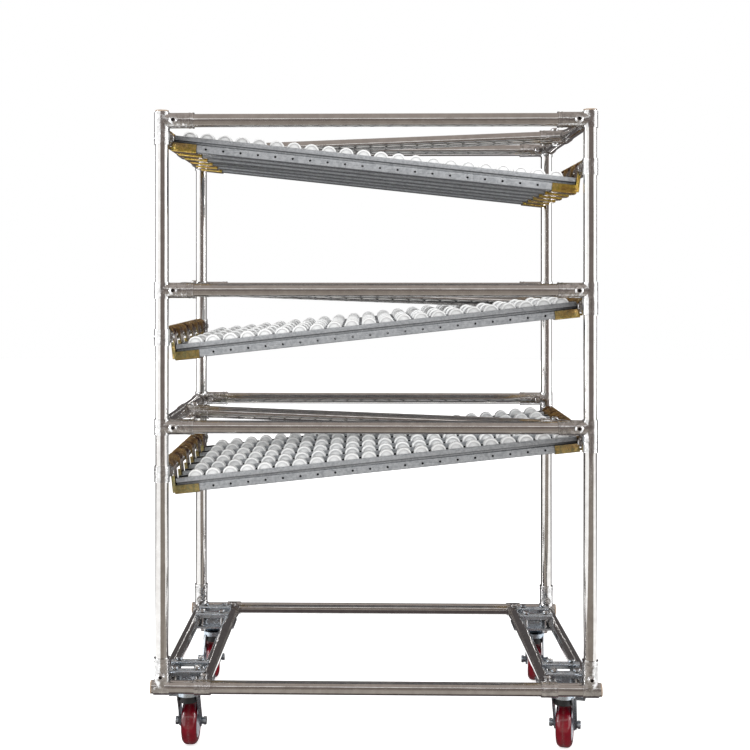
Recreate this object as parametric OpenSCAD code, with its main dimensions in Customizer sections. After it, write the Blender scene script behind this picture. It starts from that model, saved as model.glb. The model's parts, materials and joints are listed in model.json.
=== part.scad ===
// Mobile flow rack of 28 mm pipe: three sloping beds of roller tracks between
// four posts, on a pipe base with four swivel casters.
// X runs along the tracks, Y across the lanes, Z up from the floor.

/* [Rack] */
// Distance between post axes along the tracks
rack_length = 900; // [860:5:1200]
// Axis height of the side rails of the top level
top_rail_z = 1363; // [1280:1:1600]
// Axis height of the side rails of the middle level
mid_rail_z = 1005; // [930:1:1080]
// Axis height of the side rails of the bottom level
low_rail_z = 717; // [560:1:760]
// Post above the axis of the top rails
post_over = 19; // [18:0.5:40]
// Base rail beyond the post axis
base_rail_over = 21; // [18:0.5:60]

/* [Pipe] */
// Outer diameter of every pipe
pipe_d = 28; // [27:0.1:29]
// Wall of every pipe
pipe_wall = 1.2; // [0.8:0.1:2]
// Thickness of an end cap's head
cap_t = 3; // [2:0.5:5]
// Length of an end cap's plug
cap_plug = 12; // [8:1:20]

/* [Pipe joints] */
// Sheet of the stamped joint halves
joint_t = 2.3; // [1.8:0.1:2.6]
// Gap between the two halves of a joint
joint_gap = 0.6; // [0.3:0.1:1]
// Length of a joint's collar on the pipe that runs through
collar_len = 34; // [30:1:34]
// Reach of a side rail's sleeve from the post axis
rail_sleeve = 68; // [50:1:90]
// Reach of a bed support's sleeve from the post axis
support_sleeve = 48; // [42:1:48.5]
// Reach of a base cross tube's sleeve from the base rail axis
base_sleeve = 43; // [40:0.5:43.5]
// Reach of a post's sleeve above the base rail axis
post_sleeve = 63; // [50:1:90]
// Reach of a divider's sleeve from the axis of the pipe it stands on
divider_sleeve = 60; // [45:1:90]
// Bolt axis from the axis of the pipe that runs through
bolt_offset = 26; // [25:0.5:28]
// Diameter of a joint bolt
bolt_d = 6; // [5:0.5:6.5]
// Diameter of the raised ring round a joint bolt
boss_d = 18; // [15:0.5:18]
// Height of the lip that ends each sleeve
lip_h = 0.8; // [0.4:0.1:0.8]
// Width of that lip
lip_w = 3; // [2:0.5:4]
// Height of the pressed bead behind the lip
bead_h = 0.6; // [0.3:0.1:0.8]
// Distance from a sleeve's end to its bead
bead_in = 8; // [6:0.5:10]

/* [Beds] */
// Number of lanes on each level
lanes = 6; // [2:2:6]
// Distance between lanes
lane_pitch = 92; // [84:1:130]
// Outermost lane's centre line to the side rail axis
lane_edge = 70; // [69.5:0.5:100]
// Slope of a bed in degrees
bed_slope = 6.18; // [5.5:0.02:6.6]
// Groove line of the track below the side rail axis, at the posts of the high end
bed_high_drop = 35; // [33:0.5:37]
// High support pipe below the side rail axis
high_pipe_drop = 34; // [34:0.5:40]
// Low support pipe below the side rail axis
low_pipe_drop = 99; // [90:0.5:105]

/* [Roller track] */
// Width across the hemmed band
track_w = 40; // [38:0.5:44]
// Width across the lower body
body_w = 35; // [32:0.5:36]
// Height of the hemmed band
band_h = 10; // [9:0.5:12]
// Height of the groove between band and body
groove_h = 5; // [4:0.5:6]
// Depth of the groove on each side of the body
groove_depth = 2.5; // [2:0.1:2.8]
// Height of the lower body
body_h = 17; // [15:0.5:20]
// Sheet of the track
track_t = 1.5; // [1:0.1:1.8]
// Outer radius of the track's folds
fold_r = 2; // [1.6:0.1:2]
// Height of the hemmed walls that hold the axles
hem_h = 7; // [6.5:0.1:7.2]
// Clear width between the inner walls that hold the axles
axle_gap = 25; // [24.5:0.5:27]
// Diameter of the holes along the lower body
side_hole_d = 5; // [3:0.5:6]
// Space between a track's end and its bracket
track_gap = 2.5; // [1:0.5:6]

/* [Rollers] */
// Outer diameter of a roller
roller_d = 33; // [28:0.5:33.5]
// Width of a roller at its rim
roller_w = 22; // [18:0.5:22]
// Width of a roller at its hub
hub_w = 23; // [22.5:0.5:24]
// Diameter of a roller's hub
hub_d = 10; // [8:0.5:14]
// Thickness of a roller's rim
rim_t = 3.5; // [2.5:0.5:5]
// Thickness of a roller's web
web_t = 17; // [10:1:18]
// Bevel at the edge of the rim
rim_bevel = 1.5; // [0.5:0.1:2]
// Diameter of an axle
axle_d = 4; // [3:0.1:5]
// Running clearance round an axle
axle_play = 0.05; // [0.02:0.01:0.08]
// Axle axis below the top of the band
axle_drop = 3.5; // [3.2:0.1:4]
// First roller from the high end of the track
high_margin = 30.5; // [20:0.5:34]
// Last roller from the low end of the track
low_margin = 41; // [20:0.5:45]

/* [Brackets] */
// Sheet of the brackets that hang the tracks on the pipes
bracket_t = 2.5; // [2:0.1:3]
// Length of the cradle under the track's end
cradle_len = 53; // [40:1:60]
// Height of the cradle's walls
cradle_h = 19; // [14:0.5:21]
// Outer radius of the cradle's bottom folds
cradle_round = 4; // [3:0.5:4]
// Depth of the flanges that stiffen the bracket's leg
leg_flange = 5; // [3:0.5:7]
// Height of the raised lips along the hook
hook_lip = 4; // [2:0.5:5]
// Hook past the pipe's far side
hook_tail = 6; // [2:0.5:10]

/* [Casters] */
// Diameter of a caster wheel
wheel_d = 100; // [90:1:110]
// Width of a caster wheel's tyre
wheel_w = 34; // [28:0.5:36]
// Diameter of a caster wheel's hub
wheel_hub_d = 26; // [20:0.5:34]
// Width of the recess in each side of a caster wheel
wheel_recess = 5; // [2:0.5:8]
// Radius of the tyre's shoulders
tyre_round = 12; // [6:0.5:13]
// Wheel axis below the top of the mounting plate
fork_drop = 104; // [100:1:115]
// Wheel axis behind the swivel axis
caster_trail = 45; // [30:1:45]
// Swivel axis from the post axis along the tracks, half the way to the inner cross tube
caster_inset_x = 43; // [42:0.5:50]
// Swivel axis from the base rail axis
caster_inset_y = 83; // [83:0.5:110]
// Mounting plate along the tracks
plate_x = 110; // [100:1:112]
// Mounting plate across the lanes
plate_y = 78; // [70:1:78]
// Thickness of the mounting plate
plate_t = 5; // [4:0.5:6]
// Height of the upper ball race
race_h = 14; // [10:0.5:16]
// Diameter of the upper ball race
race_d = 46; // [42:1:54]
// Diameter of the fork's crown
crown_d = 50; // [48:1:66]
// Height of the fork's crown
crown_h = 10.5; // [8:0.5:12]
// Sheet of the fork's cheeks
cheek_t = 3; // [2:0.5:4]
// Radius of a cheek round the axle
cheek_round = 13; // [11:0.5:16]
// Diameter of the kingpin
kingpin_d = 12; // [10:0.5:14]
// Diameter of the wheel's axle bolt
axle_bolt_d = 10; // [8:0.5:12]
// Overall length of the axle bolt
axle_bolt_len = 68; // [66:1:74]
// Height of the guard under the crown
guard_h = 15; // [10:0.5:16]
// Sheet of a brake pedal
pedal_t = 2.5; // [2:0.1:3]
// Reach of the brake pedal's tread beside the fork
tread_len = 20; // [12:1:30]
// Distance between the two saddle ribs of a caster
saddle_pitch = 62; // [50:1:62]
// Width of a saddle rib
saddle_w = 15; // [12:0.5:15.5]
// Saddle rib above the pipe axis
saddle_top = 22; // [18:0.5:26]
// Bolt through a saddle rib, from the swivel axis
saddle_bolt_x = 24; // [23.5:0.1:24.5]
// Diameter of a saddle bolt
saddle_bolt_d = 8; // [6:0.5:9]

/* [Hidden] */
$fn = 48;
rollers = 22;
fit = 0.05;
gap = 0.3;
pipe_r = pipe_d / 2;
bore_r = pipe_r - pipe_wall;
joint_r = pipe_r + joint_t;
stub_start = bolt_offset + bolt_d / 2 + gap * 10;
third_start = joint_r + 2;
boss_top = joint_r + 1.2;
bolt_head_h = 4;
base_rail_z = wheel_d / 2 + fork_drop + pipe_r;
post_x = rack_length / 2;
post_y = (lanes - 1) * lane_pitch / 2 + lane_edge;
post_top = top_rail_z + post_over;
rail_end = post_x + base_rail_over;
inner_x = post_x - 2 * caster_inset_x;

// Levels: height of the side rails and direction in which the bed falls along X.
rail_z = [top_rail_z, mid_rail_z, low_rail_z];
fall_dir = [1, -1, -1];

// Bed frame: x down the slope, z square to it, with the groove line at z = 0.
bed_fall = 2 * post_x * tan(bed_slope);
bed_drop = bed_high_drop + bed_fall / 2;
function bed_point(x, z) =
    [x * cos(bed_slope) - z * sin(bed_slope), x * sin(bed_slope) + z * cos(bed_slope)];
high_pipe = bed_point(-post_x, bed_drop - high_pipe_drop);
low_pipe = bed_point(post_x, bed_drop - low_pipe_drop);
end_space = pipe_r + bracket_t + track_gap;
track_x0 = high_pipe[0] + end_space;
track_x1 = low_pipe[0] - end_space;
track_len = track_x1 - track_x0;
band_z0 = groove_h / 2;
band_z1 = band_z0 + band_h;
body_z1 = -groove_h / 2;
body_z0 = body_z1 - body_h;
axle_z = band_z1 - axle_drop;
first_roller = track_x0 + high_margin;
roller_pitch = (track_len - high_margin - low_margin) / (rollers - 1);

// Lane divider, from the high support pipe up to the stop rail.
divider_slope = atan(high_pipe_drop / (2 * post_x));
divider_len = norm([2 * post_x, high_pipe_drop]);

plate_z = base_rail_z - pipe_r - plate_t;
crown_z1 = plate_z - race_h - gap;
crown_z0 = crown_z1 - crown_h;
cheek_x = wheel_w / 2 + 3;
cheek_out = cheek_x + cheek_t;
bolt_head_t = 6;

function lane_y(i) = (i - (lanes - 1) / 2) * lane_pitch;
function roller_x(i) = first_roller + i * roller_pitch;

// Four corners: sign of X and Y.
corners = [[-1, -1], [1, -1], [-1, 1], [1, 1]];

// Rod along X, Y or Z between two coordinates on that axis.
module rod_x(r, x0, x1) {
    translate([x0, 0, 0]) rotate([0, 90, 0]) cylinder(r = r, h = x1 - x0);
}
module rod_y(r, y0, y1) {
    translate([0, y1, 0]) rotate([90, 0, 0]) cylinder(r = r, h = y1 - y0);
}
module rod_z(r, z0, z1) {
    translate([0, 0, z0]) cylinder(r = r, h = z1 - z0);
}

module pipe_x(x0, x1) {
    difference() {
        rod_x(pipe_r, x0, x1);
        rod_x(bore_r, x0 - 1, x1 + 1);
    }
}
module pipe_y(y0, y1) {
    rotate([0, 0, 90]) pipe_x(y0, y1);
}
module pipe_z(z0, z1) {
    rotate([0, -90, 0]) pipe_x(z0, z1);
}

// ---- Pipe joints ----
// Frame: a pipe runs through along Z and a stub starts from it along +X. The two
// stamped halves part at y = 0. side is the half's sign of y. third is the reach
// of a socket along y for a pipe that ends at the corner, or 0.
module joint_half(side, reach, third = 0) {
    difference() {
        union() {
            intersection() {
                union() {
                    rod_z(joint_r, -collar_len / 2, collar_len / 2);
                    rod_x(joint_r, 0, reach);
                    rod_x(joint_r + lip_h, reach - lip_w, reach);
                    rod_x(joint_r + bead_h, reach - bead_in - lip_w, reach - bead_in);
                    translate([bolt_offset, 0, 0]) rod_y(boss_d / 2, -boss_top, boss_top);
                }
                translate([-50, side > 0 ? joint_gap / 2 : -50 - joint_gap / 2, -50])
                    cube([60 + reach, 50, 100]);
            }
            if (third > 0) {
                rod_y(joint_r, side > 0 ? joint_gap / 2 : -third, side > 0 ? third : -joint_gap / 2);
                rod_y(joint_r + lip_h, side > 0 ? third - lip_w : -third,
                    side > 0 ? third : lip_w - third);
            }
        }
        rod_z(pipe_r, -collar_len, collar_len);
        rod_x(pipe_r, 0, reach + 1);
        translate([bolt_offset, 0, 0]) rod_y(bolt_d / 2, -boss_top - 1, boss_top + 1);
        if (third > 0) rod_y(pipe_r, side > 0 ? 0 : -third - 1, side > 0 ? third + 1 : 0);
    }
}
// third_side is the sign of y of the half that carries the socket.
module joint(reach, third = 0, third_side = 1) {
    joint_half(third_side, reach, third);
    joint_half(-third_side, reach);
}
// Bolt through both halves with its round head at head_side and its nut opposite.
module joint_bolt(head_side) {
    translate([bolt_offset, 0, 0]) rotate([-head_side * 90, 0, 0]) {
        rod_z(bolt_d / 2, -boss_top - bolt_head_h, boss_top);
        rod_z(bolt_d * 0.9, boss_top, boss_top + bolt_head_h);
        translate([0, 0, -boss_top - bolt_head_h])
            cylinder(r = bolt_d * 0.95, h = bolt_head_h, $fn = 6);
    }
}

// Side rail to post, for each level and corner. At the low end the far half of the
// joint also holds the stop rail.
module at_rail_joints() {
    for (k = [0 : 2], c = corners)
        translate([c[0] * post_x, c[1] * post_y, rail_z[k]])
            rotate([0, 0, c[0] < 0 ? 0 : 180]) {
                $low_end = c[0] == fall_dir[k];
                $inner_side = c[0] * c[1];
                children();
            }
}
// Bed support to post, below the side rails.
module at_support_joints() {
    for (k = [0 : 2], c = corners)
        translate([c[0] * post_x, c[1] * post_y,
                rail_z[k] - (c[0] == fall_dir[k] ? low_pipe_drop : high_pipe_drop)])
            rotate([0, 0, -90 * c[1]]) {
                $outer_side = c[0] * c[1];
                children();
            }
}
// Post on base rail, with the socket of the outer cross tube.
module at_post_feet() {
    for (c = corners)
        translate([c[0] * post_x, c[1] * post_y, base_rail_z])
            rotate([0, -90, 0]) {
                $inner_side = -c[1];
                children();
            }
}
// Inner cross tube on base rail.
module at_inner_feet() {
    for (c = corners)
        translate([c[0] * inner_x, c[1] * post_y, base_rail_z])
            rotate([0, 0, c[1] > 0 ? 180 : 0]) rotate([90, 0, 90]) children();
}
// Lane divider on the high support pipe and on the stop rail.
module in_divider_frame(k) {
    translate([-fall_dir[k] * post_x, 0, rail_z[k] - high_pipe_drop])
        rotate([0, 0, fall_dir[k] > 0 ? 0 : 180]) rotate([0, -divider_slope, 0]) children();
}
module at_divider_joints() {
    for (k = [0 : 2]) in_divider_frame(k) {
        rotate([90, 0, 0]) children();
        translate([divider_len, 0, 0]) rotate([0, 0, 180]) rotate([90, 0, 0]) children();
    }
}

// ---- Pipes ----
module posts() {
    color("silver") for (c = corners)
        translate([c[0] * post_x, c[1] * post_y, 0]) pipe_z(base_rail_z + stub_start, post_top);
}
module base_rails() {
    color("silver") for (s = [-1, 1])
        translate([0, s * post_y, base_rail_z]) pipe_x(-rail_end, rail_end);
}
module base_cross_tubes() {
    color("silver") for (s = [-1, 1]) {
        translate([s * post_x, 0, base_rail_z]) pipe_y(third_start - post_y, post_y - third_start);
        translate([s * inner_x, 0, base_rail_z]) pipe_y(stub_start - post_y, post_y - stub_start);
    }
}
module side_rails() {
    color("silver") for (k = [0 : 2], s = [-1, 1])
        translate([0, s * post_y, rail_z[k]]) pipe_x(stub_start - post_x, post_x - stub_start);
}
module bed_support_pipes() {
    color("silver") for (k = [0 : 2], s = [-1, 1])
        translate([s * post_x, 0, rail_z[k] - (s == fall_dir[k] ? low_pipe_drop : high_pipe_drop)])
            pipe_y(stub_start - post_y, post_y - stub_start);
}
module stop_rails() {
    color("silver") for (k = [0 : 2])
        translate([fall_dir[k] * post_x, 0, rail_z[k]])
            pipe_y(third_start - post_y, post_y - third_start);
}
module lane_dividers() {
    color("silver") for (k = [0 : 2])
        in_divider_frame(k) pipe_x(stub_start, divider_len - stub_start);
}
module end_cap() {
    rod_z(bore_r, -cap_plug, 0);
    rod_z(pipe_r, 0, cap_t);
}
module pipe_caps() {
    color("goldenrod") {
        for (c = corners) translate([c[0] * post_x, c[1] * post_y, post_top]) end_cap();
        for (c = corners)
            translate([c[0] * rail_end, c[1] * post_y, base_rail_z]) rotate([0, 90 * c[0], 0]) end_cap();
    }
}

// ---- Joints and their bolts ----
module rail_joints() {
    color("lightsteelblue") at_rail_joints()
        joint(rail_sleeve, $low_end ? rail_sleeve : 0, $inner_side);
}
module support_joints() {
    color("lightsteelblue") at_support_joints() joint(support_sleeve);
}
module base_joints() {
    color("lightsteelblue") {
        at_post_feet() joint(post_sleeve, base_sleeve, $inner_side);
        at_inner_feet() joint(base_sleeve);
    }
}
module divider_joints() {
    color("lightsteelblue") at_divider_joints() joint(divider_sleeve);
}
module joint_bolts() {
    color("gainsboro") {
        at_rail_joints() joint_bolt(-$inner_side);
        at_support_joints() joint_bolt($outer_side);
        at_post_feet() joint_bolt(-$inner_side);
        at_inner_feet() joint_bolt(1);
        at_divider_joints() joint_bolt(1);
    }
}

// ---- Beds ----
module in_bed(k) {
    translate([0, 0, rail_z[k] - bed_drop])
        rotate([0, 0, fall_dir[k] > 0 ? 0 : 180]) rotate([0, bed_slope, 0]) children();
}
// Outline of the folded section, y across and z up, with its folds rounded outside and
// inside. The groove parts the band from the body.
module track_outline() {
    groove_y = body_w / 2 - groove_depth;
    offset(r = -track_t, $fn = 16) offset(delta = track_t) offset(r = fold_r, $fn = 16)
        offset(delta = -fold_r)
        for (s = [-1, 1]) scale([s, 1]) polygon([
            [0, body_z0], [body_w / 2, body_z0], [body_w / 2, body_z1], [groove_y, body_z1],
            [groove_y, band_z0], [track_w / 2, band_z0], [track_w / 2, band_z1], [0, band_z1]
        ]);
}
// The sheet runs round the outline, is open between the axle walls and ends in a hem
// that hangs from the band's top on each side.
module track_section() {
    in_y = axle_gap / 2;
    difference() {
        track_outline();
        offset(delta = -track_t) track_outline();
        translate([-in_y, 0]) square([axle_gap, band_z1 + 1]);
    }
    for (s = [-1, 1]) translate([s * (in_y + track_t / 2), band_z1 - hem_h / 2])
        square([track_t, hem_h], center = true);
}
module tracks_level(k) {
    color("darkgray") in_bed(k) for (i = [0 : lanes - 1]) translate([0, lane_y(i), 0]) difference() {
        translate([track_x0, 0, 0]) rotate([90, 0, 90]) linear_extrude(track_len) track_section();
        for (n = [0 : rollers - 1]) {
            translate([roller_x(n), 0, axle_z]) rotate([0, 45, 0])
                rod_y(axle_d / 2, -axle_gap / 2 - track_t - 1, axle_gap / 2 + track_t + 1);
            translate([roller_x(n), 0, (body_z0 + body_z1) / 2]) rotate([0, 45, 0])
                rod_y(side_hole_d / 2, -track_w, track_w);
        }
    }
}
module roller_axles() {
    color("gray") for (k = [0 : 2]) in_bed(k) for (i = [0 : lanes - 1], n = [0 : rollers - 1])
        translate([roller_x(n), lane_y(i), axle_z])
            rod_y(axle_d / 2, gap - axle_gap / 2 - 2 * track_t, axle_gap / 2 + 2 * track_t - gap);
}
// One roller about the Y axis: hub, web and bevelled rim.
module roller() {
    bore = axle_d / 2 + axle_play;
    out = roller_d / 2;
    rim = out - rim_t;
    rotate([90, 0, 0]) rotate_extrude() polygon([
        [bore, -hub_w / 2], [hub_d / 2, -hub_w / 2], [hub_d / 2, -web_t / 2], [rim, -web_t / 2],
        [rim, -roller_w / 2], [out - rim_bevel, -roller_w / 2], [out, rim_bevel - roller_w / 2],
        [out, roller_w / 2 - rim_bevel], [out - rim_bevel, roller_w / 2], [rim, roller_w / 2],
        [rim, web_t / 2], [hub_d / 2, web_t / 2], [hub_d / 2, hub_w / 2], [bore, hub_w / 2]
    ]);
}
module rollers_across(k, n) {
    color("white") in_bed(k) for (i = [0 : lanes - 1])
        translate([roller_x(n), lane_y(i), axle_z]) roller();
}
module rollers_level(k) {
    for (n = [0 : rollers - 1]) rollers_across(k, n);
}

// Bracket at a support pipe: a hook over the pipe, a leg and a cradle under the
// track's end. Frame: pipe along Y at the origin, bed towards +X.
module bracket(pipe_z) {
    floor_z = body_z0 - bracket_t - pipe_z;
    out_r = pipe_r + bracket_t;
    half_w = body_w / 2 + bracket_t;
    rotate([90, 0, 0]) linear_extrude(2 * half_w, center = true) {
        difference() {
            circle(r = out_r);
            circle(r = pipe_r);
            translate([-50, -100]) square(100);
        }
        translate([-out_r, -hook_tail]) square([bracket_t, hook_tail]);
        translate([pipe_r, floor_z + cradle_round]) square([bracket_t, -floor_z - cradle_round]);
    }
    // The cradle is a folded trough, closed by the leg's foot.
    difference() {
        translate([pipe_r, 0, 0]) rotate([90, 0, 90]) linear_extrude(cradle_len) trough(half_w, floor_z, 0);
        translate([out_r, 0, 0]) rotate([90, 0, 90])
            linear_extrude(cradle_len) trough(half_w, floor_z, bracket_t);
        translate([-50, -50, floor_z + cradle_h]) cube(100 + cradle_len);
    }
    // Lips stand up along both edges of the hook, and flanges stiffen the leg below the pipe.
    for (s = [-1, 1]) translate([0, s * (half_w - bracket_t / 2), 0]) rotate([90, 0, 0])
        linear_extrude(bracket_t, center = true) {
            difference() {
                circle(r = out_r + hook_lip);
                circle(r = pipe_r);
                translate([-50, -100]) square(100);
                translate([out_r, -50]) square(100);
            }
            translate([pipe_r - leg_flange, floor_z + cradle_round])
                square([leg_flange + bracket_t, -pipe_r - gap - floor_z - cradle_round]);
        }
}
// Trough's section, shrunk by inset on all sides and high enough to be cut to length.
module trough(half_w, floor_z, inset) {
    offset(r = cradle_round - inset, $fn = 20) offset(delta = -cradle_round)
        translate([-half_w, floor_z]) square([2 * half_w, 100]);
}
module high_end_brackets() {
    color("goldenrod") for (k = [0 : 2]) in_bed(k) for (i = [0 : lanes - 1])
        translate([high_pipe[0], lane_y(i), high_pipe[1]]) bracket(high_pipe[1]);
}
module low_end_brackets() {
    color("goldenrod") for (k = [0 : 2]) in_bed(k) for (i = [0 : lanes - 1])
        translate([low_pipe[0], lane_y(i), low_pipe[1]]) rotate([0, 0, 180]) bracket(low_pipe[1]);
}

// ---- Casters ----
// Corner of each caster and the turn of its fork about the swivel axis.
caster_yaw = [0, -15, 15, -10];
module at_caster(n) {
    translate([corners[n][0] * (post_x - caster_inset_x), corners[n][1] * (post_y - caster_inset_y), 0])
        children();
}
module in_fork(n) {
    at_caster(n) rotate([0, 0, caster_yaw[n]]) children();
}
module caster_plates() {
    head_z1 = crown_z0 - gap;
    color("lightsteelblue") for (n = [0 : 3]) at_caster(n) {
        difference() {
            translate([-plate_x / 2, -plate_y / 2, plate_z]) cube([plate_x, plate_y, plate_t]);
            for (x = [-1, 1], y = [-1, 1])
                translate([x * saddle_bolt_x, y * saddle_pitch / 2, 0])
                    rod_z(saddle_bolt_d / 2, plate_z - 1, base_rail_z);
        }
        translate([0, 0, plate_z - race_h])
            cylinder(r1 = race_d / 2 - 7, r2 = race_d / 2, h = race_h - 4);
        rod_z(race_d / 2, plate_z - 4, plate_z);
        rod_z(kingpin_d / 2, head_z1 - 5, plate_z);
        rod_z(kingpin_d * 0.75, head_z1 - 5, head_z1);
    }
}
module saddle_clamps() {
    span = 2 * caster_inset_x;
    color("lightsteelblue") for (n = [0 : 3]) at_caster(n) for (y = [-1, 1])
        translate([0, y * saddle_pitch / 2, base_rail_z]) difference() {
            union() {
                translate([2 - span / 2, -saddle_w / 2, saddle_top - 14])
                    cube([span - 4, saddle_w, 14 - saddle_w / 2]);
                translate([0, 0, saddle_top - saddle_w / 2]) rod_x(saddle_w / 2, 2 - span / 2, span / 2 - 2);
            }
            for (x = [-1, 1]) {
                translate([x * span / 2, 0, 0]) rod_y(pipe_r, -saddle_w, saddle_w);
                translate([x * saddle_bolt_x, 0, 0]) rod_z(saddle_bolt_d / 2, 0, 50);
            }
        }
}
module saddle_bolts() {
    nut_r = saddle_bolt_d * 0.9;
    head_z = base_rail_z + saddle_top;
    color("gainsboro") for (n = [0 : 3]) at_caster(n) for (x = [-1, 1], y = [-1, 1])
        translate([x * saddle_bolt_x, y * saddle_pitch / 2, 0]) {
            rod_z(saddle_bolt_d / 2, plate_z - 8, head_z + 4);
            translate([0, 0, head_z]) cylinder(r = nut_r, h = 5, $fn = 6);
            translate([0, 0, plate_z - 6]) cylinder(r = nut_r, h = 6, $fn = 6);
        }
}
// brake is the sign of X of the cheek that carries a pedal, or 0.
module fork(n, brake) {
    axle_r = axle_bolt_d / 2;
    axle_end = axle_bolt_len / 2;
    pedal_out = cheek_out + gap + pedal_t + gap;
    color("lightsteelblue") in_fork(n) {
        difference() {
            union() {
                rod_z(crown_d / 2, crown_z0, crown_z1);
                for (s = [-1, 1]) translate([s * (cheek_x + cheek_t / 2), 0, 0]) rotate([90, 0, 90])
                    linear_extrude(cheek_t, center = true) hull() {
                        translate([caster_trail, wheel_d / 2]) circle(r = cheek_round);
                        translate([-16, crown_z0]) square([32, 4]);
                    }
            }
            rod_z(kingpin_d / 2 + fit, 0, plate_z);
        }
        translate([0, caster_trail, wheel_d / 2]) {
            rod_x(axle_r, -axle_end, axle_end);
            for (s = [-1, 1]) {
                inner = s == brake ? pedal_out : cheek_out;
                head0 = axle_end - bolt_head_t;
                rod_x(axle_r * 1.5, s > 0 ? inner : -head0, s > 0 ? head0 : -inner);
                rod_x(axle_r * 1.8, s > 0 ? head0 : -axle_end, s > 0 ? axle_end : -head0);
            }
        }
    }
}
module wheel(n) {
    r = wheel_d / 2;
    hub_r = wheel_hub_d / 2;
    hub_x = cheek_x - gap;
    half = wheel_w / 2;
    tyre_in = r - tyre_round * 2;
    color("firebrick") in_fork(n) translate([0, caster_trail, r]) rotate([0, 90, 0]) rotate_extrude()
        difference() {
            union() {
                translate([0, -hub_x]) square([hub_r, 2 * hub_x]);
                translate([0, -half]) square([r - tyre_round, 2 * half]);
                translate([0, tyre_round - half]) square([r, 2 * (half - tyre_round)]);
                for (s = [-1, 1]) translate([r - tyre_round, s * (half - tyre_round)]) circle(r = tyre_round);
            }
            translate([-1, -50]) square([1 + axle_bolt_d / 2 + fit, 100]);
            for (s = [-1, 1]) translate([hub_r, s > 0 ? half - wheel_recess : -half - 1])
                square([tyre_in - hub_r, wheel_recess + 1]);
        }
}
module guard(n) {
    color("dimgray") in_fork(n) difference() {
        rod_z(cheek_x - gap, crown_z0 - guard_h, crown_z0);
        rod_z(kingpin_d * 0.75 + 2, crown_z0 - guard_h + 3, crown_z0 + 1);
    }
}
module brake_pedal(n, side) {
    x0 = side > 0 ? cheek_out + gap : -cheek_out - gap - pedal_t;
    color("lightsteelblue") in_fork(n) translate([0, caster_trail, wheel_d / 2]) difference() {
        union() {
            translate([x0, 0, 0]) rotate([90, 0, 90]) linear_extrude(pedal_t) hull() {
                circle(r = cheek_round - 2);
                translate([-26, 52]) square([20, 12]);
            }
            translate([side > 0 ? x0 : x0 - tread_len, -26, 62]) cube([tread_len + pedal_t, 20, 2]);
        }
        rod_x(axle_bolt_d / 2 + fit, -50, 50);
    }
}

posts();
base_rails();
base_cross_tubes();
side_rails();
bed_support_pipes();
stop_rails();
lane_dividers();
pipe_caps();
rail_joints();
support_joints();
base_joints();
divider_joints();
joint_bolts();
tracks_level(0);  // tracks_level_1
tracks_level(1);  // tracks_level_2
tracks_level(2);  // tracks_level_3
roller_axles();
high_end_brackets();
low_end_brackets();
rollers_level(0);  // rollers_level_1
rollers_level(1);  // rollers_level_2
rollers_across(2, 0);  // roller_row_01
rollers_across(2, 1);  // roller_row_02
rollers_across(2, 2);  // roller_row_03
rollers_across(2, 3);  // roller_row_04
rollers_across(2, 4);  // roller_row_05
rollers_across(2, 5);  // roller_row_06
rollers_across(2, 6);  // roller_row_07
rollers_across(2, 7);  // roller_row_08
rollers_across(2, 8);  // roller_row_09
rollers_across(2, 9);  // roller_row_10
rollers_across(2, 10);  // roller_row_11
rollers_across(2, 11);  // roller_row_12
rollers_across(2, 12);  // roller_row_13
rollers_across(2, 13);  // roller_row_14
rollers_across(2, 14);  // roller_row_15
rollers_across(2, 15);  // roller_row_16
rollers_across(2, 16);  // roller_row_17
rollers_across(2, 17);  // roller_row_18
rollers_across(2, 18);  // roller_row_19
rollers_across(2, 19);  // roller_row_20
rollers_across(2, 20);  // roller_row_21
rollers_across(2, 21);  // roller_row_22
caster_plates();
saddle_clamps();
saddle_bolts();
fork(0, -1);  // fork_near_left
fork(1, 1);  // fork_near_right
fork(2, 0);  // fork_far_left
fork(3, 0);  // fork_far_right
guard(0);  // guard_near_left
guard(1);  // guard_near_right
guard(2);  // guard_far_left
guard(3);  // guard_far_right
wheel(0);  // wheel_near_left
wheel(1);  // wheel_near_right
wheel(2);  // wheel_far_left
wheel(3);  // wheel_far_right
brake_pedal(0, -1);  // brake_pedal_near_left
brake_pedal(1, 1);  // brake_pedal_near_right
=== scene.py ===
"""Mobile flow rack with three beds of roller tracks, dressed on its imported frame."""
import json
import math

import bmesh
import bpy
from mathutils import Matrix, Vector


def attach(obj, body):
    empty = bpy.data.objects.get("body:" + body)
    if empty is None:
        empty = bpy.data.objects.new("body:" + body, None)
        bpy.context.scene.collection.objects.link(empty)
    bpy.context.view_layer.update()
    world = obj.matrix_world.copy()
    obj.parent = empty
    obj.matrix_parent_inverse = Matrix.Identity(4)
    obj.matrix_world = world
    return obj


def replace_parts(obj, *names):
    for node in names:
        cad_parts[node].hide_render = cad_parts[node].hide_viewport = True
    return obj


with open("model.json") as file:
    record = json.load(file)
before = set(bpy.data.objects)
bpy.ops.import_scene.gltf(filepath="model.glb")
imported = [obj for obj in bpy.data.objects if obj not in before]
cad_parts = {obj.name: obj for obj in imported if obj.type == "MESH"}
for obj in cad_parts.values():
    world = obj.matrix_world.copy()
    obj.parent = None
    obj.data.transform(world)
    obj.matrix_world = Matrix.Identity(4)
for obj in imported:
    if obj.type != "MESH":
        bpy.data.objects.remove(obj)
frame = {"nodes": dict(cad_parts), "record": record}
NODES = frame["nodes"]
JOINTS = {joint["name"]: joint for joint in frame["record"]["behaviour"]["joints"]}
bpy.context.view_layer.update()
MM = 0.001


# ---------------------------------------------------------------- shader helpers
def node(tree, kind, inputs=None, **props):
    """A shader node with its properties set and its inputs filled or linked."""
    made = tree.nodes.new(kind)
    for key, value in props.items():
        setattr(made, key, value)
    for key, value in (inputs or {}).items():
        socket = made.inputs[key]
        if isinstance(value, bpy.types.NodeSocket):
            tree.links.new(value, socket)
        else:
            socket.default_value = value
    return made


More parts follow.
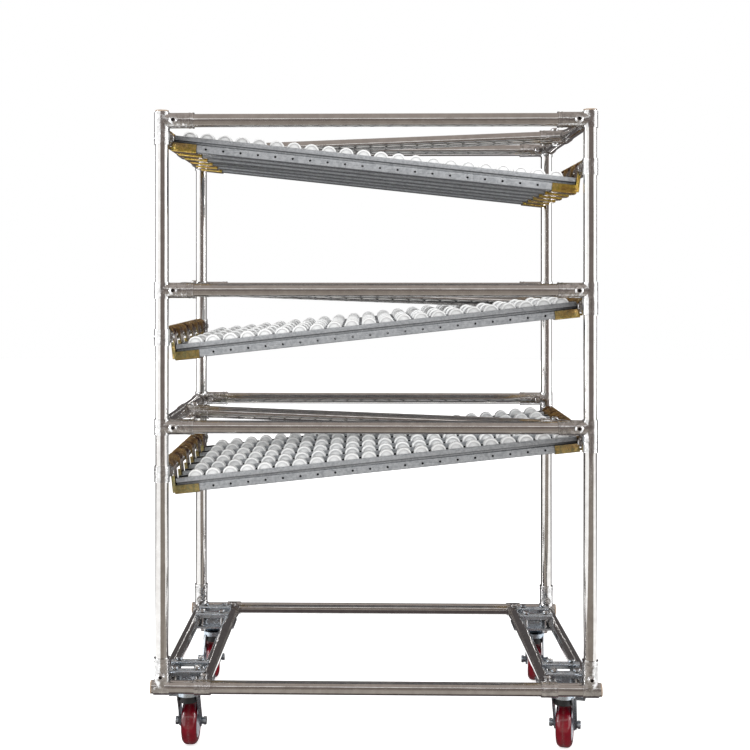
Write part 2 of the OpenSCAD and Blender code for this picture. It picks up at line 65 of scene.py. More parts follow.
def math_node(tree, operation, a, b=0.0):
    return node(tree, "ShaderNodeMath", {0: a, 1: b}, operation=operation).outputs[0]


def object_coords(tree):
    """Coordinates in metres, fixed to the object."""
    return node(tree, "ShaderNodeTexCoord").outputs["Object"]


def surface_direction(tree):
    """X, Y and Z of the surface's normal."""
    return node(tree, "ShaderNodeSeparateXYZ",
                {0: node(tree, "ShaderNodeNewGeometry").outputs["Normal"]}).outputs


def stretched(tree, coords, share):
    """Coordinates scaled by a share on each axis; a small share draws a pattern out along it."""
    return node(tree, "ShaderNodeVectorMath", {0: coords, 1: share}, operation="MULTIPLY").outputs[0]


def noise(tree, vector, scale, detail=3.0, rough=0.55):
    made = node(tree, "ShaderNodeTexNoise", {"Vector": vector, "Scale": scale, "Detail": detail,
                                             "Roughness": rough})
    return made.outputs["Fac"]


def remap(tree, value, from_low, from_high, to_low=0.0, to_high=1.0):
    made = node(tree, "ShaderNodeMapRange", {"Value": value, "From Min": from_low, "From Max": from_high,
                                             "To Min": to_low, "To Max": to_high})
    return made.outputs["Result"]


def mix_color(tree, factor, first, second):
    made = node(tree, "ShaderNodeMix", {0: factor}, data_type="RGBA")
    for index, value in ((6, first), (7, second)):
        if isinstance(value, bpy.types.NodeSocket):
            tree.links.new(value, made.inputs[index])
        else:
            made.inputs[index].default_value = (*value, 1.0)
    return made.outputs[2]


def weighted(tree, first, share, second):
    """A share of the first value with the rest of the second."""
    return math_node(tree, "ADD", math_node(tree, "MULTIPLY", first, share),
                     math_node(tree, "MULTIPLY", second, 1.0 - share))


def ramp(tree, value, stops):
    made = node(tree, "ShaderNodeValToRGB", {"Fac": value})
    band = made.color_ramp
    while len(band.elements) < len(stops):
        band.elements.new(0.5)
    for element, (place, color) in zip(band.elements, stops):
        element.position = place
        element.color = (*color, 1.0)
    return made.outputs["Color"]


def shader_group(name, inputs, outputs, fill):
    """A node group: inputs are (label, kind, start value), outputs (label, kind)."""
    made = bpy.data.node_groups.new(name, "ShaderNodeTree")
    for label, kind, value in inputs:
        socket = made.interface.new_socket(label, in_out="INPUT", socket_type="NodeSocket" + kind)
        socket.default_value = value
    for label, kind in outputs:
        made.interface.new_socket(label, in_out="OUTPUT", socket_type="NodeSocket" + kind)
    start = made.nodes.new("NodeGroupInput").outputs
    end = made.nodes.new("NodeGroupOutput").inputs
    for label, value in fill(made, start).items():
        made.links.new(value, end[label])
    return made


def fill_drifting_tone(tree, given):
    """A colour that drifts between two tones, in spots and in wide clouds."""
    coords = object_coords(tree)
    spots = noise(tree, coords, given["Scale"], 4.0, 0.6)
    clouds = noise(tree, coords, 7.0, 2.0, 0.5)
    share = remap(tree, weighted(tree, spots, 0.7, clouds), 0.36, 0.64)
    return {"Color": mix_color(tree, share, given["Dark"], given["Light"])}


def fill_uneven_gloss(tree, given):
    """Roughness from grain and smears, and the grain itself as a height."""
    coords = object_coords(tree)
    grain = noise(tree, stretched(tree, coords, given["Grain"]), given["Grain Scale"], 2.0, 0.5)
    smears = noise(tree, coords, 23.0, 5.0, 0.6)
    share = remap(tree, weighted(tree, grain, 0.45, smears), 0.32, 0.68)
    spread = math_node(tree, "SUBTRACT", given["Rough"], given["Smooth"])
    gloss = math_node(tree, "ADD", given["Smooth"], math_node(tree, "MULTIPLY", spread, share))
    return {"Roughness": gloss, "Height": grain}


def fill_edge_wear_and_highlight(tree, given):
    """Broken wear along raised edges, which also serves as a painted highlight along them."""
    point = node(tree, "ShaderNodeNewGeometry").outputs["Pointiness"]
    patches = noise(tree, object_coords(tree), 160.0, 3.0, 0.6)
    edge = remap(tree, point, 0.505, 0.56)
    kept = remap(tree, patches, 0.35, 0.6, 0.25, 1.0)
    worn_and_glinting = math_node(tree, "MULTIPLY", math_node(tree, "MULTIPLY", edge, kept), given["Amount"])
    return {"Mask": worn_and_glinting}


def fill_standing_dust(tree, given):
    """Patches of dust on faces that look up."""
    flat = remap(tree, surface_direction(tree)["Z"], 0.35, 0.95)
    patches = remap(tree, noise(tree, object_coords(tree), 46.0, 6.0, 0.65), 0.38, 0.7)
    lying = math_node(tree, "MULTIPLY", flat, patches)
    return {"Mask": math_node(tree, "MULTIPLY", lying, given["Amount"])}


def fill_recess_grime(tree, given):
    """Painted shade: full in holes, grooves and between neighbouring pieces, none on open faces."""
    shade = node(tree, "ShaderNodeAmbientOcclusion", {"Distance": given["Reach"]}, samples=8)
    closed = remap(tree, shade.outputs["AO"], 0.25, 0.8, 1.0, 0.0)
    return {"Mask": math_node(tree, "MULTIPLY", closed, given["Amount"])}


GROUPS = {
    "tone": shader_group("drifting_tone", [("Scale", "Float", 60.0), ("Dark", "Color", (0.5, 0.5, 0.5, 1)),
                                           ("Light", "Color", (0.7, 0.7, 0.7, 1))],
                         [("Color", "Color")], fill_drifting_tone),
    "gloss": shader_group("uneven_gloss", [("Grain", "Vector", (1, 1, 1)), ("Grain Scale", "Float", 900.0),
                                           ("Smooth", "Float", 0.1), ("Rough", "Float", 0.2)],
                          [("Roughness", "Float"), ("Height", "Float")], fill_uneven_gloss),
    # Edge wear that also stands in for a painted highlight on raised edges.
    "wear_and_glint": shader_group("edge_wear_and_highlight", [("Amount", "Float", 1.0)], [("Mask", "Float")], fill_edge_wear_and_highlight),
    "dust": shader_group("standing_dust", [("Amount", "Float", 0.3)], [("Mask", "Float")],
                         fill_standing_dust),
    # Painted shade in holes, grooves and between pieces, found by ambient occlusion.
    "recess": shader_group("recess_grime", [("Reach", "Float", 0.02), ("Amount", "Float", 0.9)],
                           [("Mask", "Float")], fill_recess_grime),
}


def group(tree, key, **values):
    """One of the shared groups, with values for its named sockets."""
    made = tree.nodes.new("ShaderNodeGroup")
    made.node_tree = GROUPS[key]
    for label, value in values.items():
        socket = made.inputs[label.replace("_", " ")]
        if isinstance(value, bpy.types.NodeSocket):
            tree.links.new(value, socket)
        else:
            socket.default_value = (*value, 1.0) if socket.type == "RGBA" else value
    return made.outputs


def laid_over(tree, color, key, tone, **values):
    """A colour with a tone over it where one of the shared masks is full."""
    return mix_color(tree, group(tree, key, **values)["Mask"], color, tone)


def material(name, **sockets):
    """A new material, with constant values on its Principled shader's own sockets."""
    made = bpy.data.materials.new(name)
    made.use_nodes = True
    tree = made.node_tree
    shader = tree.nodes["Principled BSDF"]
    for key, value in sockets.items():
        shader.inputs[key.replace("_", " ")].default_value = value
    return made, tree, shader


def set_surface(tree, shader, color, gloss, bump_strength, bump_height=0.0002, height=None):
    """Colour, roughness and a fine bump on a shader."""
    tree.links.new(color, shader.inputs["Base Color"])
    tree.links.new(gloss["Roughness"], shader.inputs["Roughness"])
    made = node(tree, "ShaderNodeBump", {"Height": height or gloss["Height"], "Strength": bump_strength,
                                         "Distance": bump_height})
    tree.links.new(made.outputs["Normal"], shader.inputs["Normal"])


# ---------------------------------------------------------------- materials
def polished_pipe(name, grain):
    """Polished steel pipe, with fine lines along its length."""
    made, tree, shader = material(name, Metallic=1.0)
    color = group(tree, "tone", Scale=55.0, Dark=(0.60, 0.585, 0.57), Light=(0.71, 0.70, 0.685))["Color"]
    gloss = group(tree, "gloss", Grain=grain, Grain_Scale=900.0, Smooth=0.05, Rough=0.12)
    set_surface(tree, shader, color, gloss, 0.15)
    return made


def cast_plating(name, dark, light, smooth, rough, lumps, lump_scale=150.0, wear_and_glint=0.35,
                 bright=(0.9, 0.9, 0.9)):
    """Plated castings and pressings: a mottled skin, soft lumps, bright edges that are part wear and part
    painted highlight, and painted shade in recesses.
    """
    made, tree, shader = material(name, Metallic=1.0)
    base = group(tree, "tone", Scale=95.0, Dark=dark, Light=light)["Color"]
    # Worn metal and painted highlight along raised edges, in the bright tone.
    color = laid_over(tree, base, "wear_and_glint", bright, Amount=wear_and_glint)
    gloss = group(tree, "gloss", Grain=(1, 1, 1), Grain_Scale=700.0, Smooth=smooth, Rough=rough)
    # Painted shade, near black, in holes, grooves and between parts.
    color = laid_over(tree, color, "recess", (0.05, 0.047, 0.045), Reach=0.012, Amount=0.8)
    lumpy = noise(tree, object_coords(tree), lump_scale, 4.0, 0.55)
    set_surface(tree, shader, color, gloss, lumps, 0.0009, lumpy)
    return made


def track_steel():
    """Galvanised sheet with rolling marks along it, painted shade underneath and near-black painted shade
    in grooves.
    """
    made, tree, shader = material("track_galvanised", Metallic=0.45)
    coords = object_coords(tree)
    base = group(tree, "tone", Scale=30.0, Dark=(0.225, 0.243, 0.262), Light=(0.315, 0.337, 0.36))["Color"]
    lines = noise(tree, stretched(tree, coords, (0.02, 1.0, 1.0)), 520.0, 3.0, 0.6)
    streak = remap(tree, lines, 0.35, 0.7, 0.0, 0.5)
    color = mix_color(tree, streak, base, (0.38, 0.40, 0.425))
    # Worn zinc and painted highlight along raised edges.
    color = laid_over(tree, color, "wear_and_glint", (0.66, 0.68, 0.70), Amount=0.5)
    color = laid_over(tree, color, "dust", (0.42, 0.42, 0.41), Amount=0.25)
    # Painted shade on faces that look down.
    underside_shade = remap(tree, surface_direction(tree)["Z"], -0.85, -0.2, 0.9, 0.0)
    color = mix_color(tree, underside_shade, color, (0.17, 0.185, 0.205))
    # Near-black painted shade in grooves, holes and between neighbouring tracks.
    color = laid_over(tree, color, "recess", (0.01, 0.011, 0.013), Reach=0.12, Amount=0.95)
    gloss = group(tree, "gloss", Grain=(0.03, 1.0, 1.0), Grain_Scale=700.0, Smooth=0.22, Rough=0.38)
    set_surface(tree, shader, color, gloss, 0.2)
    return made


def bracket_steel():
    """Yellow passivated zinc: gold higher up, olive lower down, brown and rose round the hooks."""
    made, tree, shader = material("bracket_yellow_zinc", Metallic=0.85)
    coords = object_coords(tree)
    film = weighted(tree, noise(tree, coords, 85.0, 5.0, 0.65), 0.4, noise(tree, coords, 24.0, 2.0, 0.5))
    olive = ramp(tree, film, [(0.38, (0.15, 0.16, 0.08)), (0.47, (0.17, 0.22, 0.12)),
                              (0.54, (0.25, 0.31, 0.21)), (0.62, (0.40, 0.48, 0.22))])
    gold = ramp(tree, film, [(0.38, (0.24, 0.13, 0.03)), (0.46, (0.42, 0.31, 0.03)),
                             (0.54, (0.30, 0.28, 0.05)), (0.62, (0.55, 0.42, 0.20))])
    height = node(tree, "ShaderNodeSeparateXYZ", {0: coords}).outputs["Z"]
    color = mix_color(tree, remap(tree, height, 0.80, 1.15), olive, gold)
    facing = math_node(tree, "ABSOLUTE", surface_direction(tree)["Y"])
    bands = noise(tree, coords, 60.0, 3.0)
    rose = ramp(tree, bands, [(0.34, (0.10, 0.055, 0.045)), (0.48, (0.26, 0.15, 0.11)),
                              (0.56, (0.38, 0.33, 0.22)), (0.68, (0.42, 0.24, 0.20))])
    hook = node(tree, "ShaderNodeAttribute", attribute_name="hook").outputs["Fac"]
    browned = math_node(tree, "MAXIMUM", remap(tree, facing, 0.35, 0.8, 0.95, 0.0), hook)
    color = mix_color(tree, browned, color, rose)
    # Worn zinc and painted orange highlight along raised edges.
    color = laid_over(tree, color, "wear_and_glint", (0.90, 0.60, 0.20), Amount=0.6)
    # Painted shade in recesses.
    color = laid_over(tree, color, "recess", (0.03, 0.02, 0.015), Reach=0.02, Amount=0.8)
    gloss = group(tree, "gloss", Grain=(1, 1, 1), Grain_Scale=500.0, Smooth=0.12, Rough=0.26)
    rolled = noise(tree, stretched(tree, coords, (0.12, 1.0, 1.0)), 95.0, 3.0)
    set_surface(tree, shader, color, gloss, 0.5, 0.0012, rolled)
    return made


def moulded(name, dark, light, smooth, rough, skin_scale, skin, dust=0.0, dust_tone=(0.4, 0.38, 0.36),
            recess=0.0, **sockets):
    """Moulded plastic: slight tone drift, uneven gloss, a fine skin and dust on top."""
    made, tree, shader = material(name, **sockets)
    color = group(tree, "tone", Scale=35.0, Dark=dark, Light=light)["Color"]
    if dust:
        color = laid_over(tree, color, "dust", dust_tone, Amount=dust)
    if recess:
        # Painted shade in recesses, where an amount for it is given.
        color = laid_over(tree, color, "recess", (0.2, 0.2, 0.21), Reach=0.03, Amount=recess)
    gloss = group(tree, "gloss", Grain=(1, 1, 1), Grain_Scale=skin_scale, Smooth=smooth, Rough=rough)
    set_surface(tree, shader, color, gloss, skin)
    return made


def tyre_rubber():
    """Glossy red polyurethane with a dusty band where the tread meets the floor."""
    made, tree, shader = material("tyre_red", Coat_Weight=0.6, Coat_Roughness=0.04)
    coords = object_coords(tree)
    base = group(tree, "tone", Scale=40.0, Dark=(0.12, 0.003, 0.008), Light=(0.20, 0.005, 0.014))["Color"]
    across = node(tree, "ShaderNodeAttribute", attribute_name="across").outputs["Fac"]
    middle = remap(tree, math_node(tree, "ABSOLUTE", across), 0.0, 0.32, 1.0, 0.0)
    grit = remap(tree, noise(tree, coords, 240.0, 5.0, 0.7), 0.3, 0.66)
    dirt = math_node(tree, "MULTIPLY", math_node(tree, "MULTIPLY", middle, grit), 0.5)
    color = mix_color(tree, dirt, base, (0.13, 0.075, 0.07))
    gloss = group(tree, "gloss", Grain=(1, 1, 1), Grain_Scale=260.0, Smooth=0.08, Rough=0.2)
    roughness = math_node(tree, "ADD", gloss["Roughness"], math_node(tree, "MULTIPLY", dirt, 0.5))
    set_surface(tree, shader, color, {"Roughness": roughness, "Height": gloss["Height"]}, 0.12)
    return made


MATERIALS = {
    "pipe_x": polished_pipe("pipe_steel_x", (0.02, 1.0, 1.0)),
    "pipe_y": polished_pipe("pipe_steel_y", (1.0, 0.02, 1.0)),
    "pipe_z": polished_pipe("pipe_steel_z", (1.0, 1.0, 0.02)),
    "joint": cast_plating("joint_nickel", (0.44, 0.435, 0.43), (0.80, 0.80, 0.80), 0.07, 0.22, 0.9, 105.0),
    "bolt": cast_plating("bolt_zinc", (0.66, 0.67, 0.68), (0.84, 0.84, 0.84), 0.12, 0.28, 0.15),
    # The near-black inside of the hex sockets is painted shade.
    "socket": cast_plating("bolt_socket_painted_shade", (0.02, 0.018, 0.018), (0.05, 0.045, 0.045), 0.3, 0.5, 0.1,
                           wear_and_glint=0.1, bright=(0.2, 0.2, 0.2)),
    "caster": cast_plating("caster_zinc", (0.42, 0.50, 0.58), (0.62, 0.70, 0.78), 0.16, 0.34, 0.25, 60.0),
    "track": track_steel(),
    "bracket": bracket_steel(),
    # Rollers take a painted shade where they sit down in the tracks.
    "roller": moulded("roller_acetal", (0.86, 0.87, 0.87), (0.93, 0.935, 0.93), 0.2, 0.34, 420.0, 0.08,
                      0.1, (0.66, 0.65, 0.63), recess=0.3, IOR=1.48),
    "guard": moulded("guard_black", (0.010, 0.010, 0.011), (0.020, 0.020, 0.021), 0.32, 0.5, 700.0, 0.25),
    "tyre": tyre_rubber(),
    "core": moulded("wheel_core_grey", (0.55, 0.56, 0.60), (0.66, 0.67, 0.71), 0.3, 0.45, 380.0, 0.12,
                    0.3, (0.45, 0.43, 0.41)),
    "seal": moulded("bearing_seal", (0.03, 0.03, 0.035), (0.055, 0.055, 0.06), 0.35, 0.5, 600.0, 0.2),
    "cap": moulded("cap_amber", (0.70, 0.52, 0.38), (0.82, 0.68, 0.54), 0.18, 0.3, 300.0, 0.1,
                   Transmission_Weight=0.6, IOR=1.46),
}


NODE_MATERIALS = {
    "posts": "pipe_z", "base_rails": "pipe_x", "base_cross_tubes": "pipe_y", "side_rails": "pipe_x",
    "bed_support_pipes": "pipe_y", "stop_rails": "pipe_y", "lane_dividers": "pipe_x", "pipe_caps": "cap",
    "rail_joints": "joint", "support_joints": "joint", "base_joints": "joint", "divider_joints": "joint",
    "roller_axles": "bolt", "saddle_bolts": "bolt",
}
PREFIX_MATERIALS = {
    "tracks": "track", "roller": "roller", "guard": "guard", "fork": "caster", "brake": "caster",
    "caster": "caster", "saddle": "caster", "high_end": "bracket", "low_end": "bracket",
}
# Edge rounding, in metres, on the nodes whose edges catch the light.
EDGE_ROUNDING = {
    "rail_joints": 0.0007, "support_joints": 0.0007, "base_joints": 0.0007, "divider_joints": 0.0007,
    "saddle_bolts": 0.0005, "high_end": 0.0006, "low_end": 0.0006, "caster": 0.0006, "saddle": 0.0006,
    "fork": 0.0006, "brake": 0.0005, "guard": 0.0006, "pipe_caps": 0.0008,
}
REBUILT = ("joint_bolts", "wheel_near_left", "wheel_near_right", "wheel_far_left", "wheel_far_right")
SHARP_ANGLE = math.radians(32)


def by_prefix(table, name):
    return next((value for prefix, value in table.items() if name.startswith(prefix)), None)


def material_key(name):
    return NODE_MATERIALS.get(name) or by_prefix(PREFIX_MATERIALS, name)


def body_of(name):
    bodies = frame["record"]["behaviour"]["bodies"]
    return next(body for body, members in bodies.items() if name in members)


# ---------------------------------------------------------------- mesh helpers
def smooth_by_angle(build):
    for face in build.faces:
        face.smooth = True
    for edge in build.edges:
        edge.smooth = len(edge.link_faces) == 2 and edge.calc_face_angle(0.0) < SHARP_ANGLE


def make_object(name, build, key, for_node):
    """Turn a bmesh into a piece that rides with a node's body and takes its slot."""
    mesh = bpy.data.meshes.new(name)
    smooth_by_angle(build)
    build.to_mesh(mesh)
    build.free()
    mesh.materials.append(MATERIALS[key])
    made = bpy.data.objects.new(name, mesh)
    bpy.context.scene.collection.objects.link(made)
    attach(made, body_of(for_node))
    return made


def round_edges(obj, width, segments=2):
    made = obj.modifiers.new("rounded_edges", "BEVEL")
    made.width = width
    made.segments = segments
    made.limit_method = "ANGLE"
    made.angle_limit = SHARP_ANGLE
    made.harden_normals = True


def arc(center, radius, start, stop, steps):
    """Points (along, out) of an arc, with angles in degrees from the axis direction."""
    turns = [math.radians(start + (stop - start) * step / steps) for step in range(steps + 1)]
    return [(center[0] + radius * math.cos(turn), center[1] + radius * math.sin(turn)) for turn in turns]


def lathe(build, profile, segments, closed=False):
    """Turn (along, out) points in millimetres about the X axis; returns the new vertices."""
    before = set(build.verts)
    line = [build.verts.new((along * MM, 0.0, out * MM)) for along, out in profile]
    edges = [build.edges.new(pair) for pair in zip(line, line[1:] + line[:1] * closed)]
    bmesh.ops.spin(build, geom=line + edges, cent=(0, 0, 0), axis=(1, 0, 0), angle=math.tau,
                   steps=segments, use_merge=True)
    made = [vert for vert in build.verts if vert not in before]
    bmesh.ops.remove_doubles(build, verts=made, dist=0.000002)
    return [vert for vert in build.verts if vert not in before]


def into_place(build, verts, axis, center):
    """Turn new vertices from the X axis to a direction, and move them to a point."""
    axis = Vector(axis).normalized()
    up = Vector((0, 0, 1)) if abs(axis.z) < 0.9 else Vector((0, 1, 0))
    side = up.cross(axis).normalized()
    up = axis.cross(side)
    place = Matrix((axis, side, up)).transposed().to_4x4()
    place.translation = center
    bmesh.ops.transform(build, matrix=place, verts=verts)


def islands(build):
    """Groups of connected vertices."""
    left = set(build.verts)
    while left:
        stack, found = [left.pop()], []
        while stack:
            vert = stack.pop()
            found.append(vert)
            for edge in vert.link_edges:
                other = edge.other_vert(vert)
                if other in left:
                    left.remove(other)
                    stack.append(other)
        yield found


# Height in metres of a bracket's hook, from its top down.
HOOK_HEIGHT = 0.028


def mark_hooks(build):
    """Give each bracket's vertices an attribute that is 1 round the pipe and 0 at the cradle."""
    hook = build.verts.layers.float.new("hook")
    for verts in islands(build):
        top = max(vert.co.z for vert in verts)
        for vert in verts:
            vert[hook] = 1.0 if top - vert.co.z < HOOK_HEIGHT else 0.0


# ---------------------------------------------------------------- pieces
def finished_copy(name):
    """The node's solids with merged vertices, smooth curves and rounded edges."""
    build = bmesh.new()
    build.from_mesh(NODES[name].data)
    bmesh.ops.remove_doubles(build, verts=build.verts, dist=0.000005)
    bmesh.ops.dissolve_limit(build, angle_limit=math.radians(0.6), verts=build.verts, edges=build.edges)
    if material_key(name) == "bracket":
        mark_hooks(build)
    piece = make_object(name + "_finished", build, material_key(name), name)
    width = by_prefix(EDGE_ROUNDING, name)
    if width:
        round_edges(piece, width)
    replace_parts(piece, name)
    return piece


def wheel_place(corner):
    joint = JOINTS["wheel_turn_" + corner]
    return joint["axis"], joint["pos_m"]


# Tyre in millimetres: half its width, its outer and inner radius, and the radius of its shoulders.
TYRE_HALF, TYRE_OUT, TYRE_IN, SHOULDER = 17.0, 50.0, 35.5, 12.0


def make_tyre(corner):
    """Polyurethane tyre with round shoulders, bonded to the core."""
    build = bmesh.new()
    across = build.verts.layers.float.new("across")
    edge = TYRE_HALF - SHOULDER
    half = arc((edge, TYRE_OUT - SHOULDER), SHOULDER, 90, 0, 10) + [(TYRE_HALF, TYRE_IN + 1.2),
                                                                    (TYRE_HALF - 1.0, TYRE_IN)]
    profile = [(-along, out) for along, out in reversed(half)] + half
    verts = lathe(build, profile, 96, closed=True)
    for vert in verts:
        vert[across] = vert.co.x / (TYRE_HALF * MM)
    bmesh.ops.recalc_face_normals(build, faces=build.faces)
    into_place(build, build.verts, *wheel_place(corner))
    name = "wheel_" + corner
    tyre = make_object(name + "_tyre", build, "tyre", name)
    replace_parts(tyre, name)


def make_core(corner):
    """Moulded core: rim, web, hub and ribs on each side."""
    build = bmesh.new()
    half = [(4.0, 14.0), (4.0, 31.0), (14.0, 31.8), (15.2, 32.4), (15.8, 33.2), (15.8, TYRE_IN)]
    rim = [(-along, out) for along, out in half] + list(reversed(half))
    lathe(build, rim, 72, closed=True)
    hub = [(16.0, 8.5), (18.6, 8.5), (19.4, 9.3), (19.4, 12.0), (18.4, 13.0), (4.0, 14.5)]
    lathe(build, [(-along, out) for along, out in hub] + list(reversed(hub)), 48, closed=True)
    for rib in range(8):
        for side in (-1, 1):
            box = bmesh.ops.create_cube(build, size=1.0)["verts"]
            bmesh.ops.scale(build, vec=(9 * MM, 2.4 * MM, 20 * MM), verts=box)
            bmesh.ops.translate(build, vec=(side * 8 * MM, 0, 22.5 * MM), verts=box)
            turn = Matrix.Rotation(math.radians(45 * rib + 10), 3, "X")
            bmesh.ops.rotate(build, cent=(0, 0, 0), matrix=turn, verts=box)
    bmesh.ops.recalc_face_normals(build, faces=build.faces)
    into_place(build, build.verts, *wheel_place(corner))
    name = "wheel_" + corner
    round_edges(make_object(name + "_core", build, "core", name), 0.0005)


def make_bearings(corner):
    """Dark seal rings at each end of the hub."""
    build = bmesh.new()
    ring = [(17.0, 5.6), (18.9, 5.6), (19.2, 6.0), (19.2, 8.2), (18.8, 8.6), (17.0, 8.6)]
    lathe(build, ring, 40, closed=True)
    lathe(build, [(-along, out) for along, out in reversed(ring)], 40, closed=True)
    bmesh.ops.recalc_face_normals(build, faces=build.faces)
    into_place(build, build.verts, *wheel_place(corner))
    name = "wheel_" + corner
    make_object(name + "_bearings", build, "seal", name)


def bolt_places():
    """Centre and head direction of each joint bolt, from the solids they replace."""
    build = bmesh.new()
    build.from_mesh(NODES["joint_bolts"].data)
    bmesh.ops.remove_doubles(build, verts=build.verts, dist=0.000005)
    places = []
    for verts in islands(build):
        low = Vector([min(vert.co[axis] for vert in verts) for axis in range(3)])
        high = Vector([max(vert.co[axis] for vert in verts) for axis in range(3)])
        longest = max(range(3), key=lambda axis: high[axis] - low[axis])
        at_high = sum(1 for vert in verts if high[longest] - vert.co[longest] < 0.0005)
        at_low = sum(1 for vert in verts if vert.co[longest] - low[longest] < 0.0005)
        axis = Vector((0, 0, 0))
        axis[longest] = 1.0 if at_high > at_low else -1.0
        places.append(((low + high) / 2, axis))
    build.free()
    return places


def hexagon(verts, depth):
    """Pull the ring of a socket at a depth to six flats."""
    for vert in verts:
        off_ring = abs(math.hypot(vert.co.y, vert.co.z) - SOCKET_RADIUS * MM)
        if abs(vert.co.x - depth * MM) < 0.00001 and off_ring < 0.0001:
            turn = math.atan2(vert.co.z, vert.co.y)
            flat = (turn % (math.pi / 3)) - math.pi / 6
            stretch = math.cos(math.pi / 6) / math.cos(flat) * 1.06
            vert.co.y *= stretch
            vert.co.z *= stretch


# Joint bolts in millimetres: the head's top from the joint's middle, and the hex socket.
BOLT_END = 21.5
SOCKET_RADIUS = 3.7
SOCKET_FLOOR = 18.6


def make_joint_bolts():
    """Button heads with a flange and a hex socket on one side of each joint, nuts on the other."""
    build, hollow = bmesh.new(), bmesh.new()
    head = [(17.5, 8.9), (18.6, 8.9), (19.2, 8.3), (19.5, 7.2), (20.5, 6.6), (21.2, 5.6),
            (BOLT_END, 4.8), (BOLT_END, SOCKET_RADIUS)]
    socket = [(BOLT_END, SOCKET_RADIUS), (SOCKET_FLOOR, SOCKET_RADIUS), (SOCKET_FLOOR - 0.2, 0.0)]
    nut = [(-17.5, 5.7), (-20.9, 5.7), (-BOLT_END, 5.0), (-BOLT_END, 3.1)]
    tip = [(-BOLT_END + 0.6, 3.1), (-BOLT_END + 0.2, 2.6), (-BOLT_END + 0.2, 0.0)]
    for center, axis in bolt_places():
        verts = lathe(build, head, 24)
        hexagon(verts, BOLT_END)
        verts += lathe(build, nut, 6)
        verts += lathe(build, tip, 16)
        into_place(build, verts, axis, center)
        verts = lathe(hollow, socket, 24)
        hexagon(verts, BOLT_END)
        hexagon(verts, SOCKET_FLOOR)
        into_place(hollow, verts, axis, center)
    bmesh.ops.recalc_face_normals(build, faces=build.faces)
    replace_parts(make_object("joint_bolts_detailed", build, "bolt", "joint_bolts"), "joint_bolts")
    # The socket walls take the near-black material, as painted shade inside each socket.
    bmesh.ops.recalc_face_normals(hollow, faces=hollow.faces)
    bmesh.ops.reverse_faces(hollow, faces=hollow.faces)
    make_object("joint_bolt_sockets", hollow, "socket", "joint_bolts")


# ---------------------------------------------------------------- stage
QUARTER = math.radians(90)


def make_camera():
    """Level camera before the rack, a little left of its middle, with its picture plane shifted."""
    data = bpy.data.cameras.new("camera")
    data.sensor_width = 36.0
    data.lens = 56.69
    data.shift_x = 0.0457
    data.shift_y = -0.1293
    data.clip_end = 30.0
    camera = bpy.data.objects.new("camera", data)
    camera.location = (-0.022, -2.785, 1.031)
    camera.rotation_euler = (math.radians(90), 0, math.radians(1.17))
    bpy.context.scene.collection.objects.link(camera)
    bpy.context.scene.camera = camera


def make_world():
    """White to the camera and in reflections; a plain soft grey light on everything else."""
    world = bpy.data.worlds.new("studio")
    world.use_nodes = True
    bpy.context.scene.world = world
    tree = world.node_tree
    tree.nodes.clear()
    path = node(tree, "ShaderNodeLightPath")
    seen = math_node(tree, "MAXIMUM", path.outputs["Is Camera Ray"], path.outputs["Is Glossy Ray"])
    seen = math_node(tree, "MAXIMUM", seen, path.outputs["Is Transmission Ray"])
    bright = remap(tree, path.outputs["Is Glossy Ray"], 0.0, 1.0, 1.0, 1.4)
    white = node(tree, "ShaderNodeBackground", {"Color": (1, 1, 1, 1), "Strength": bright})
    soft = node(tree, "ShaderNodeBackground", {"Color": (1, 1, 1, 1), "Strength": 0.78})
    mixed = node(tree, "ShaderNodeMixShader", {0: seen, 1: soft.outputs[0], 2: white.outputs[0]})
    node(tree, "ShaderNodeOutputWorld", {"Surface": mixed.outputs[0]})


def studio_card(name, center, size, turn, tone, axis="X", diffuse=False, far_width=None):
    """A flat glowing card that shows only in reflections, and lights the rack where diffuse is on.

    The edge with the least y runs from one x of far_width to the other, where that is given.
    """
    mesh = bpy.data.meshes.new(name)
    build = bmesh.new()
    bmesh.ops.create_grid(build, x_segments=1, y_segments=1, size=0.5)
    place = Matrix.Translation(center) @ Matrix.Rotation(turn, 4, axis)
    bmesh.ops.transform(build, matrix=place @ Matrix.Diagonal((*size, 1.0, 1.0)), verts=build.verts)
    if far_width:
        far = [vert for vert in build.verts if vert.co.y < center[1]]
        left, right = far_width
        shift = (left + right) / 2 - center[0]
        bmesh.ops.scale(build, vec=((right - left) / size[0], 1, 1), verts=far,
                        space=Matrix.Translation((-center[0], 0, 0)))
        bmesh.ops.translate(build, vec=(shift, 0, 0), verts=far)
    build.to_mesh(mesh)
    build.free()
    made, _, shader = material(name, Base_Color=(0, 0, 0, 1), Roughness=1.0, Emission_Strength=1.0)
    shader.inputs["Emission Color"].default_value = (*tone, 1.0)
    shader.inputs["Specular IOR Level"].default_value = 0.0
    mesh.materials.append(made)
    card = bpy.data.objects.new(name, mesh)
    bpy.context.scene.collection.objects.link(card)
    card.visible_camera = card.visible_shadow = card.visible_transmission = False
    card.visible_diffuse = diffuse


def area_light(name, place, target, size, power, glossy=True):
    data = bpy.data.lights.new(name, "AREA")
    data.shape = "RECTANGLE"
    data.size, data.size_y = size
    data.energy = power
    light = bpy.data.objects.new(name, data)
    light.location = place
    light.rotation_euler = (Vector(target) - Vector(place)).to_track_quat("-Z", "Y").to_euler()
    light.visible_glossy = glossy
    bpy.context.scene.collection.objects.link(light)


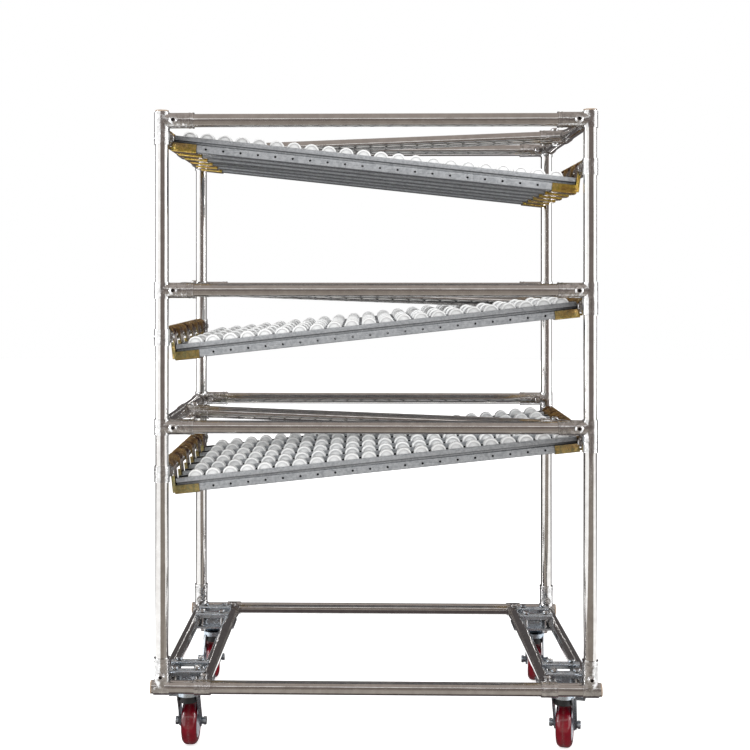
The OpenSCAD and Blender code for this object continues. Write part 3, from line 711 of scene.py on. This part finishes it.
def make_floor():
    """Pale floor that reads white to the camera and keeps a trace of shadow."""
    mesh = bpy.data.meshes.new("floor")
    build = bmesh.new()
    bmesh.ops.create_grid(build, x_segments=1, y_segments=1, size=12.0)
    build.to_mesh(mesh)
    build.free()
    floor = bpy.data.objects.new("floor", mesh)
    bpy.context.scene.collection.objects.link(floor)
    made, tree, shader = material("floor_pale", Roughness=0.6)
    tone = noise(tree, object_coords(tree), 3.0)
    tree.links.new(ramp(tree, tone, [(0.3, (0.84, 0.84, 0.84)), (0.7, (0.88, 0.88, 0.88))]),
                   shader.inputs["Base Color"])
    shader.inputs["Specular IOR Level"].default_value = 0.1
    shader.inputs["Emission Color"].default_value = (1, 1, 1, 1)
    seen = node(tree, "ShaderNodeLightPath").outputs["Is Camera Ray"]
    tree.links.new(math_node(tree, "MULTIPLY", seen, 0.64), shader.inputs["Emission Strength"])
    mesh.materials.append(made)
    floor.visible_glossy = floor.visible_diffuse = False


make_camera()
make_world()
make_floor()
studio_card("room_wall", (1.6, -4.1, 1.33), (6.8, 2.66), QUARTER, (0.225, 0.19, 0.175))
studio_card("room_ceiling", (0.3, 0.6, 3.4), (8.0, 10.0), 0.0, (0.42, 0.37, 0.34))
studio_card("room_floor", (0.2, -2.5, -0.01), (1.7, 3.2), 0.0, (0.33, 0.29, 0.255), diffuse=True,
            far_width=(-1.75, 4.8))
studio_card("floor_near", (0.0, -0.62, -0.005), (1.3, 0.56), 0.0, (0.44, 0.40, 0.36))
studio_card("floor_under", (0.0, 0.0, -0.005), (1.5, 0.68), 0.0, (0.10, 0.085, 0.085))
studio_card("floor_behind", (0.0, 3.0, -0.01), (14.0, 4.8), 0.0, (0.11, 0.10, 0.10))
studio_card("room_back", (0.0, 3.2, 1.3), (14.0, 2.6), QUARTER, (0.10, 0.09, 0.09))
studio_card("side_left", (-3.0, -0.35, 1.1), (1.4, 0.3), QUARTER, (18.0, 18.0, 18.5), axis="Y")
studio_card("side_right", (3.0, -0.35, 1.1), (1.4, 0.3), QUARTER, (18.0, 18.0, 18.5), axis="Y")
area_light("key", (-1.5, -2.6, 3.0), (0, 0, 0.7), (1.8, 1.8), 78, glossy=False)
area_light("fill", (1.6, -2.9, 1.6), (0, 0, 0.7), (1.8, 1.8), 46, glossy=False)
bpy.context.scene.view_settings.view_transform = "Standard"

for node_name in sorted(NODES):
    if node_name not in REBUILT:
        finished_copy(node_name)
make_joint_bolts()
for wheel_corner in ("near_left", "near_right", "far_left", "far_right"):
    make_tyre(wheel_corner)
    make_core(wheel_corner)
    make_bearings(wheel_corner)
